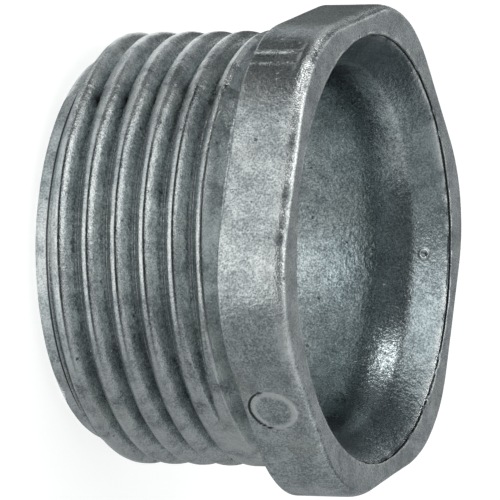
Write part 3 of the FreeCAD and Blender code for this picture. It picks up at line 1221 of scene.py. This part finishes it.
# %% [markdown]
# The light is soft and plain: a large lamp overhead, a smaller and stronger one on the side that is the
# top of the picture, and five dim panels, two on the right, two on the left and one behind. A sun or a
# point lamp would be simpler, but metal mirrors its lamps, and only a broad one gives a soft highlight.
# Strength is given as radiance, the brightness that a mirror would show.

# %% Lamps
POWER_PER_RADIANCE = 4
LAMPS = (
    # name, direction as the camera's side sees it, distance and size in metres, radiance
    ("overhead_lamp", (-0.41, -0.22, 0.88), 0.35, (0.34, 0.24), 1.0),
    ("side_lamp", (-0.943, -0.261, 0.19), 0.35, (0.11, 0.11), 3.6),
    ("left_rear_panel", (-0.36, 0.85, 0.38), 0.5, (0.15, 0.13), 0.7),
    ("right_panel", (0.35, -0.1, 0.93), 0.5, (0.5, 0.7), 0.34),
    ("right_low_panel", (0.93, -0.1, 0.33), 0.4, (0.5, 0.26), 0.36),
    ("left_top_panel", (-0.3, 0.35, 0.89), 0.5, (0.4, 0.36), 0.36),
    ("rear_panel", (0, 0.92, 0.38), 0.5, (0.3, 0.3), 0.2),
)


def soft_lamp(name, direction, distance, size, radiance):
    data = bpy.data.lights.new(name, "AREA")
    data.shape = "RECTANGLE"
    data.size, data.size_y = size
    data.energy = radiance * POWER_PER_RADIANCE * size[0] * size[1]
    lamp = linked(name, data)
    toward = seen_from_camera(*direction).normalized()
    lamp.location = toward * distance + Vector((0, 0, TARGET_HEIGHT))
    lamp.rotation_euler = toward.to_track_quat("Z", "Y").to_euler()


for lamp_row in LAMPS:
    soft_lamp(*lamp_row)
print("lamps:", len(bpy.data.lights))

# %% [markdown]
# A bright metal shows its surroundings more than its own colour, so a photographer stands cards and flags
# around it. Upright cards on both sides give the head something darker to mirror. Cards laid on the floor
# dim its white around the thread, a flag above dims one side of the bell, and two cards on the floor
# inside the bore light one side of the throat and darken the other. An image of a room could do the same,
# but each card can be moved alone. They are slightly cool, each corner has its own brightness, and only
# reflections see them.

# %% Grey cards
CARD_TINT = (0.95, 1, 1.02, 1)
LAID = 0.05


def grey_card(name, *corners):
    """A card from corners in mm, as the camera's side sees them, each with its brightness."""
    mesh = bpy.data.meshes.new(name)
    places = [seen_from_camera(*place) * MM for *place, _ in corners]
    mesh.from_pydata(places, [], [range(len(corners))])
    glow = mesh.attributes.new("glow", "FLOAT", "POINT")
    glow.data.foreach_set("value", [brightness for *_, brightness in corners])
    card = linked(name, mesh)
    material, tree, shader = new_material(name)
    shader.inputs["Base Color"].default_value = (0, 0, 0, 1)
    shader.inputs["Specular IOR Level"].default_value = 0.0
    shader.inputs["Emission Color"].default_value = CARD_TINT
    feed(kept_value(tree, "glow"), shader.inputs["Emission Strength"])
    mesh.materials.append(material)
    card.visible_camera = False
    card.visible_diffuse = False
    card.visible_transmission = False
    card.visible_shadow = False
    card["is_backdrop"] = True
    print(name, "has corners:", len(corners))


def laid_card(name, *corners):
    """A card that lies on the floor: each corner is across, away and brightness."""
    grey_card(name, *((across, away, LAID, brightness) for across, away, brightness in corners))


print("a laid card's height above the floor in mm:", LAID)

# %% Grey cards: where they stand and lie
LEFT = -26
LEFT_TOP = 15
LEFT_GREY = 0.12
RIGHT = 18
RIGHT_TOP = 21
FLAG_HEIGHT = 40
FLAG_GREY = 0.42
grey_card(
    "left_card",
    (LEFT, -27.5, 4.5, LEFT_GREY), (LEFT, 2, 3, LEFT_GREY),
    (LEFT, 2, LEFT_TOP, LEFT_GREY), (LEFT, -27.5, LEFT_TOP, LEFT_GREY))
grey_card(
    "left_rear_card",
    (LEFT, 16, 0, LEFT_GREY), (LEFT, 45, 0, LEFT_GREY),
    (LEFT, 45, LEFT_TOP, LEFT_GREY), (LEFT, 16, LEFT_TOP, LEFT_GREY))
grey_card(
    "left_mid_card",
    (LEFT, 2, 0, 0.8), (LEFT, 16, 0, LEFT_GREY),
    (LEFT, 16, LEFT_TOP, LEFT_GREY), (LEFT, 2, LEFT_TOP, 0.8))
grey_card(
    "right_card",
    (RIGHT, -75, 0, 0.3), (RIGHT, 45, 0, 0.3),
    (RIGHT, 45, RIGHT_TOP, 0.4), (RIGHT, -75, RIGHT_TOP, 0.4))
laid_card("left_floor_card", (-2.5, -11.7, 0.8), (-12, -36, 0.8), (-30, -14, 0.3), (-10, -7, 0.3))
laid_card("left_floor_end", (-10, -7, 0.3), (-30, -14, 0.3), (-30, 6, 0.85), (-11.9, -2.6, 0.6))
laid_card("far_left_card", (-27, -62, 0.5), (-60, -62, 0.3), (-60, -22, 0.3), (-32, -22, 0.4))
laid_card("rear_floor_card", (-8, 20, 0.15), (-26, 20, 0.15), (-26, 48, 0.15), (-8, 48, 0.15))
laid_card("right_floor_card", (3, -11.7, 0.8), (12, -40, 0.8), (18, -24, 0.35), (9, -8, 0.35))
laid_card("right_floor_end", (9, -8, 0.35), (18, -24, 0.35), (18, 30, 0.4), (12, 1, 0.4))
grey_card(
    "bell_flag",
    (-2, -12, FLAG_HEIGHT, FLAG_GREY), (25, -12, FLAG_HEIGHT, FLAG_GREY),
    (25, 14, FLAG_HEIGHT, FLAG_GREY), (-2, 14, FLAG_HEIGHT, FLAG_GREY))
laid_card("bore_dark", (-8.5, -3, 0.36), (8.5, -3, 0.3), (6, 8, 0.22), (-6, 8, 0.22))
laid_card("bore_light", (-7.3, -7.2, 4.0), (1.5, -10, 4.0), (2.5, -3, 0.36), (-8.3, -3, 0.36))

# %% [markdown]
# The world is a dim even grey, so that the side of the room behind the camera stays darker than the
# lamps. The view transform is Standard, so that a colour shows about as it is written.

# %% World
WORLD_GREY = (0.12, 0.133, 0.14, 1)
world = bpy.data.worlds.new("studio")
bpy.context.scene.world = world
world.use_nodes = True
world.node_tree.nodes["Background"].inputs["Color"].default_value = WORLD_GREY
bpy.context.scene.view_settings.view_transform = "Standard"
print("world:", world.name, WORLD_GREY[:3])

# %% [markdown]
# Last, the box around the casting is written beside the box of the solid, so that the two can be
# compared.

# %% Finish
bpy.context.view_layer.update()
visual_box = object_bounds()
print("visual box in mm:", [in_mm(corner) for corner in visual_box])
